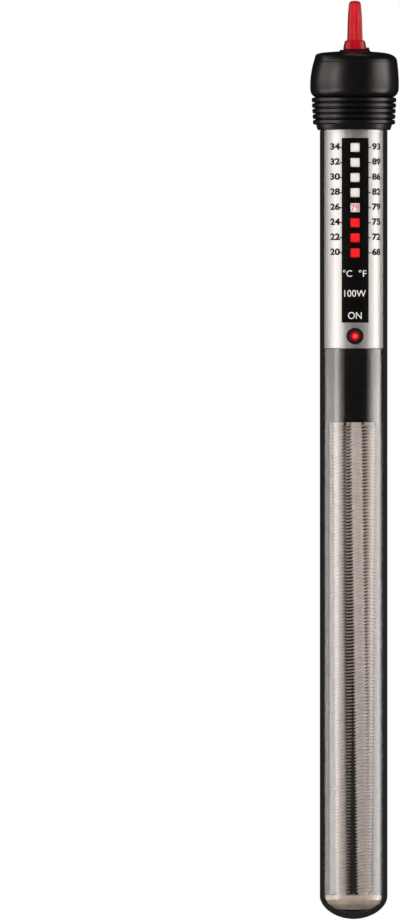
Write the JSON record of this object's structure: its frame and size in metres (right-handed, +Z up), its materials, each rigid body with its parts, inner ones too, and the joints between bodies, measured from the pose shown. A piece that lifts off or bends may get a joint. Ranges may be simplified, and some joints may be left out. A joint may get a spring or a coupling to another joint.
{
  "type": "submersible aquarium heater",
  "caption": "Glass-tube submersible aquarium heater with a red temperature knob, a windowed silver scale, a lamp window and wire coils wound on ceramic rods",
  "frame": {"origin": "the lowest point of the glass tube's dome, on the tube axis", "axes": "+Z up the tube axis towards the head and knob; the scale and the lamp window face -Y; +X is on the right as the scale is read"},
  "size_m": [0.0286, 0.035, 0.2987],
  "materials": {
    "clear_glass": "clear borosilicate glass, fire-polished dome and rim",
    "black_rubber": "satin moulded rubber with a soft sheen",
    "seal_rubber": "smooth O-ring rubber",
    "black_plastic": "fine-grained black moulding",
    "red_plastic": "glossy red moulding",
    "silver_sleeve": "satin silver printed sleeve",
    "white_plastic": "plain white moulding",
    "frame_plastic": "heat-resistant moulding, natural colour",
    "lamp_glass": "small neon lamp bulb, red",
    "lamp_red": "translucent red lens",
    "resistor_body": "painted resistor body",
    "bare_wire": "tinned wire",
    "spring_steel": "spring steel strip",
    "steel": "plated steel",
    "brass": "plain brass",
    "ceramic": "unglazed beige ceramic",
    "silver_contact": "silver contact button",
    "magnet": "sintered magnet",
    "bimetal": "rolled bimetal strip",
    "gloss_black": "glossy black sleeve",
    "cushion": "felted glass-fibre pad",
    "resistance_wire": "oxidised resistance wire",
    "glass_sleeving": "braided glass-fibre sleeving",
    "lead_wire": "nickel-plated lead wire"
  },
  "bodies": {
    "heater": {"glass_tube": "clear_glass", "head_cap": "black_rubber", "tube_bung": "black_rubber", "cord_gland": "black_rubber", "bung_rings": "seal_rubber", "shaft_rings": "seal_rubber", "knob_collar": "black_plastic", "label_sleeve": "silver_sleeve", "window_backing": "white_plastic", "lamp_bezel": "black_plastic", "lamp_lens": "lamp_red", "neon_lamp": "lamp_glass", "lamp_holder": "black_plastic", "lamp_resistor": "resistor_body", "lamp_leads": "bare_wire", "shaft_bush": "black_plastic", "adjusting_nut": "brass", "chassis_frame": "frame_plastic", "stack_insulators": "ceramic", "stack_plate": "steel", "stack_rivets": "steel", "set_arm_terminal": "brass", "bimetal_terminal": "brass", "heat_shield": "gloss_black", "shield_disc": "ceramic", "element_top_disc": "ceramic", "element_bottom_disc": "ceramic", "bottom_cushion": "cushion", "coil_bridges": "resistance_wire", "lead_ferrules": "steel", "lead_sleeving": "glass_sleeving", "lead_wire_element": "lead_wire", "lead_wire_return": "lead_wire", "lead_wire_supply": "lead_wire", "crimp_sleeves": "brass", "core_rod_1": "ceramic", "heating_coil_1": "resistance_wire", "core_rod_2": "ceramic", "heating_coil_2": "resistance_wire", "core_rod_3": "ceramic", "heating_coil_3": "resistance_wire", "core_rod_4": "ceramic", "heating_coil_4": "resistance_wire"},
    "knob_body": {"knob": "red_plastic", "knob_shaft": "white_plastic", "shaft_clip": "spring_steel"},
    "indicator": {"indicator_strip": "red_plastic", "indicator_nut": "white_plastic"},
    "adjuster": {"adjusting_screw": "steel"},
    "set_arm_body": {"set_arm": "spring_steel", "set_contact": "silver_contact", "snap_magnet": "magnet"},
    "bimetal_body": {"bimetal_strip": "bimetal", "moving_contact": "silver_contact"}
  },
  "joints": [
    {"name": "knob_turn", "type": "hinge", "parent": "heater", "child": "knob_body", "pos_m": [0.00036, -0.0045, 0.29], "axis": [0, 0, 1], "range_deg": [-900, 360]},
    {"name": "indicator_travel", "type": "slide", "parent": "heater", "child": "indicator", "axis": [0, 0, 1], "range_m": [-0.00978, 0.02445]},
    {"name": "adjuster_feed", "type": "slide", "parent": "knob_body", "child": "adjuster", "axis": [0, 0, 1], "range_m": [-0.00125, 0.0005]},
    {"name": "set_arm_flex", "type": "hinge", "parent": "heater", "child": "set_arm_body", "pos_m": [0, -0.0004, 0.244], "axis": [1, 0, 0], "range_deg": [-0.31, 0.78]},
    {"name": "bimetal_flex", "type": "hinge", "parent": "heater", "child": "bimetal_body", "pos_m": [0, 0.0017, 0.244], "axis": [-1, 0, 0], "range_deg": [-1.5, 0.45], "stiffness_Nm_per_rad": 0.02}
  ],
  "couplings": [
    {"joint": "knob_turn", "follows": "indicator_travel", "rad_per_m": -642.45},
    {"joint": "adjuster_feed", "follows": "indicator_travel", "ratio": -0.051125},
    {"joint": "set_arm_flex", "follows": "indicator_travel", "rad_per_m": 0.5521}
  ]
}
